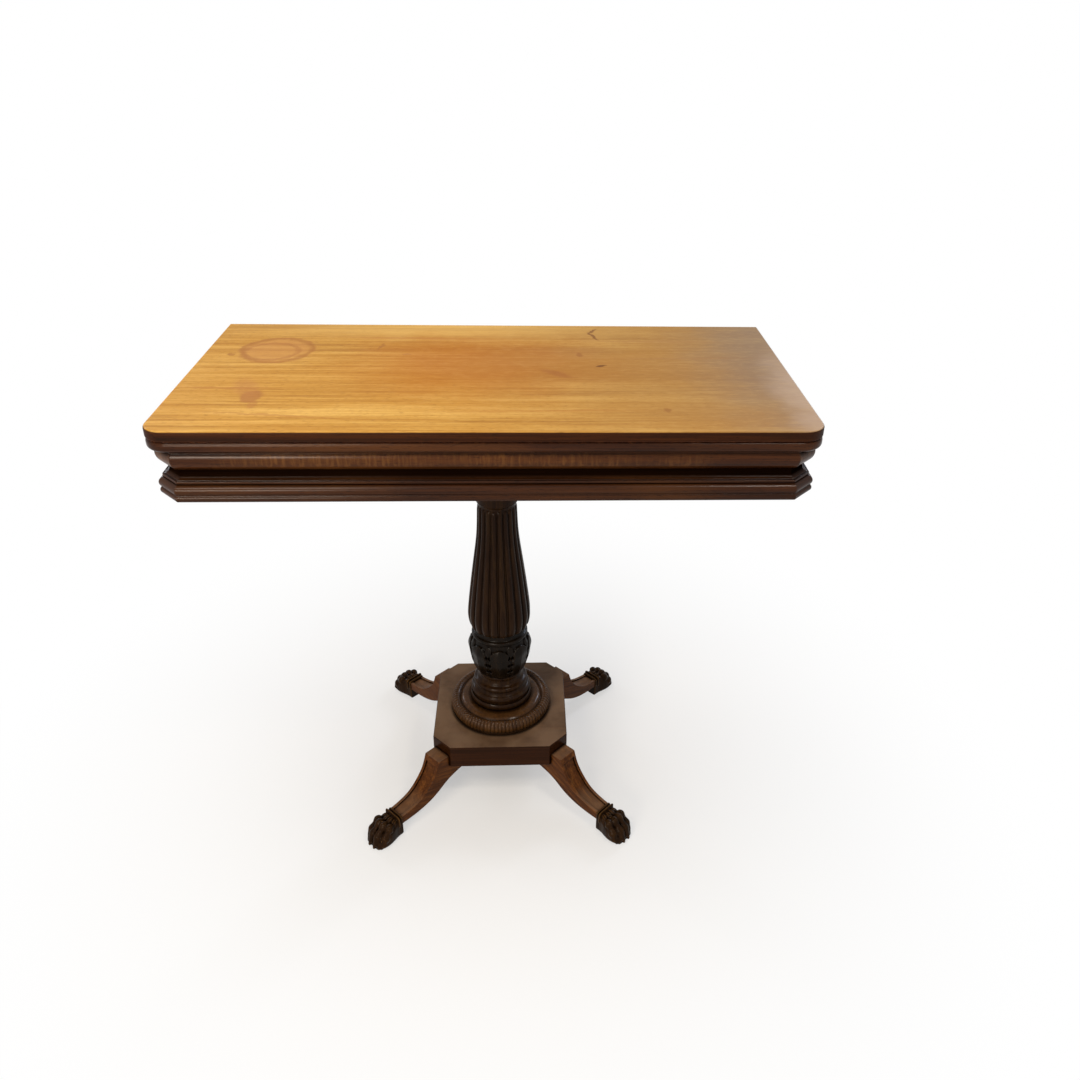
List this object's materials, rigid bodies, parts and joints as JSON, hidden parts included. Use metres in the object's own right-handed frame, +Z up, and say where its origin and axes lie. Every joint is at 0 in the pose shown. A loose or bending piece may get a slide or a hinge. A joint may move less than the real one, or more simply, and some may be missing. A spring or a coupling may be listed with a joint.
{
  "type": "folding card table",
  "caption": "Fold-over card table on a reeded pedestal with paw feet; the top swivels a quarter turn over its card well and opens flat.",
  "frame": {"origin": "on the floor under the middle of the closed top", "axes": "+X along the length of the top to the right, +Y to the hinged back edge, +Z up"},
  "size_m": [0.89, 0.448, 0.762],
  "materials": {
    "faded_mahogany": "French polish, faded to honey, slightly worn",
    "crossbanded_mahogany": "French polish over crossbanded veneer, dark red-brown gloss",
    "polished_mahogany": "French polish, dark red-brown gloss",
    "pedestal_mahogany": "French polish, dark brown, worn on the arrises",
    "ebonised_carving": "carved and ebonised, waxed to a dull bronze sheen",
    "pine": "planed, unfinished, darkened with age",
    "baize": "woven wool cloth, napped",
    "brass": "filed and dulled with age",
    "iron": "wrought, blackened"
  },
  "bodies": {
    "pedestal": {"column_bearer": "pine", "column_shaft": "pedestal_mahogany", "column_wedge_bottom": "pine", "column_wedge_top": "pine", "corner_block_back_left": "pine", "corner_block_back_right": "pine", "corner_block_front_left": "pine", "corner_block_front_right": "pine", "frieze_back": "polished_mahogany", "frieze_cant_back_left": "polished_mahogany", "frieze_cant_back_right": "polished_mahogany", "frieze_cant_front_left": "polished_mahogany", "frieze_cant_front_right": "polished_mahogany", "frieze_front": "polished_mahogany", "frieze_left": "polished_mahogany", "frieze_right": "polished_mahogany", "leaf_cup": "ebonised_carving", "leg_back_left": "pedestal_mahogany", "leg_back_right": "pedestal_mahogany", "leg_front_left": "pedestal_mahogany", "leg_front_right": "pedestal_mahogany", "leg_screws": "iron", "moulding_back": "polished_mahogany", "moulding_cant_back_left": "polished_mahogany", "moulding_cant_back_right": "polished_mahogany", "moulding_cant_front_left": "polished_mahogany", "moulding_cant_front_right": "polished_mahogany", "moulding_front": "polished_mahogany", "moulding_left": "polished_mahogany", "moulding_right": "polished_mahogany", "paw_back_left": "ebonised_carving", "paw_back_right": "ebonised_carving", "paw_dowels": "pine", "paw_front_left": "ebonised_carving", "paw_front_right": "ebonised_carving", "pivot_rail": "pine", "platform": "pedestal_mahogany", "ring_dish": "pedestal_mahogany", "ringed_socle": "pedestal_mahogany", "well_board": "pine"},
    "lower_top": {"lower_leaf": "crossbanded_mahogany", "lower_banding": "crossbanded_mahogany", "lower_baize": "baize", "hinge_plate_lower_left": "brass", "hinge_plate_lower_right": "brass", "hinge_pin_left": "brass", "hinge_pin_right": "brass", "hinge_screws_lower": "brass", "swivel_plate": "iron", "swivel_stud": "iron", "swivel_washer": "iron", "swivel_nut": "iron", "swivel_plate_screws": "iron"},
    "upper_top": {"upper_leaf": "faded_mahogany", "upper_banding": "crossbanded_mahogany", "upper_baize": "baize", "hinge_plate_upper_left": "brass", "hinge_plate_upper_right": "brass", "hinge_screws_upper": "brass"}
  },
  "joints": [
    {"name": "top_swivel", "type": "hinge", "parent": "pedestal", "child": "lower_top", "pos_m": [0.1101, 0.1101, 0.7468], "axis": [0, 0, 1], "range_deg": [0, 90]},
    {"name": "leaf_fold", "type": "hinge", "parent": "lower_top", "child": "upper_top", "pos_m": [0, 0.2202, 0.7468], "axis": [-1, 0, 0], "range_deg": [0, 180]}
  ]
}
